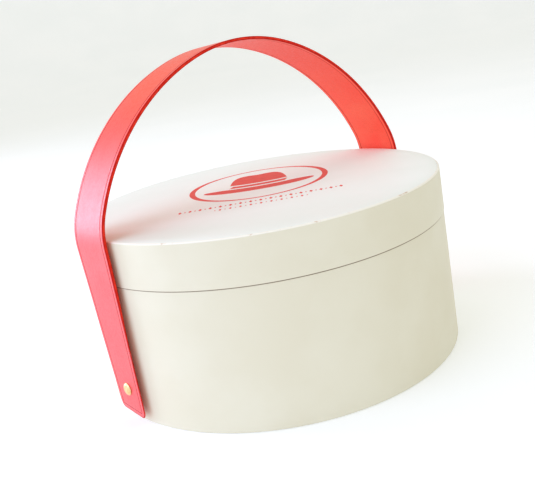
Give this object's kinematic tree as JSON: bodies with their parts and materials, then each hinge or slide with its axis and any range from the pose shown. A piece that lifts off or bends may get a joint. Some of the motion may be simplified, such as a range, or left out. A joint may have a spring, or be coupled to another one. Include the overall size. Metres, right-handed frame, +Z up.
{
  "type": "hat box",
  "caption": "Round rigid hat box of paper-covered board with a flush lift-off lid on an inner neck and a wide riveted strap handle that arches over the lid.",
  "frame": {"origin": "centre of the base's underside", "axes": "+Z up; X runs through the two rivets, the handle's hinge line; Y is square to the upright strap"},
  "size_m": [0.3134, 0.3, 0.2673],
  "materials": {
    "ivory_paper": "smooth uncoated ivory wrap paper",
    "white_paper": "smooth white paper",
    "cream_paper": "plain lining paper",
    "cream_card": "paper-covered card",
    "grey_board": "raw grey board",
    "coral_leather": "smooth, softly glossy",
    "coral_leather_inner": "smooth, slightly duller",
    "pale_brass": "polished pale gold plating",
    "fibre_washer": "pressed fibre"
  },
  "bodies": {
    "box": {"base_paper": "ivory_paper", "base_board": "grey_board", "body_wall": "grey_board", "body_wrap": "ivory_paper", "inner_neck": "grey_board", "body_lining": "cream_paper", "base_liner": "cream_card", "rivet_caps": "pale_brass", "rivet_posts": "pale_brass", "rivet_back_caps": "pale_brass", "spacer_washers": "fibre_washer", "backing_washers": "fibre_washer"},
    "lid": {"lid_hoop": "grey_board", "lid_hoop_lining": "cream_paper", "lid_top_board": "grey_board", "lid_lining": "cream_paper", "lid_side_wrap": "ivory_paper", "lid_top_paper": "white_paper"},
    "handle": {"strap_inner_leather": "coral_leather_inner", "strap_outer_leather": "coral_leather"}
  },
  "joints": [
    {"name": "handle_swing", "type": "hinge", "parent": "box", "child": "handle", "pos_m": [0, 0, 0.026], "axis": [1, 0, 0], "range_deg": [-85, 91]},
    {"name": "lid_lift", "type": "slide", "parent": "box", "child": "lid", "axis": [0, 0, 1], "range_m": [0, 0.01]}
  ]
}
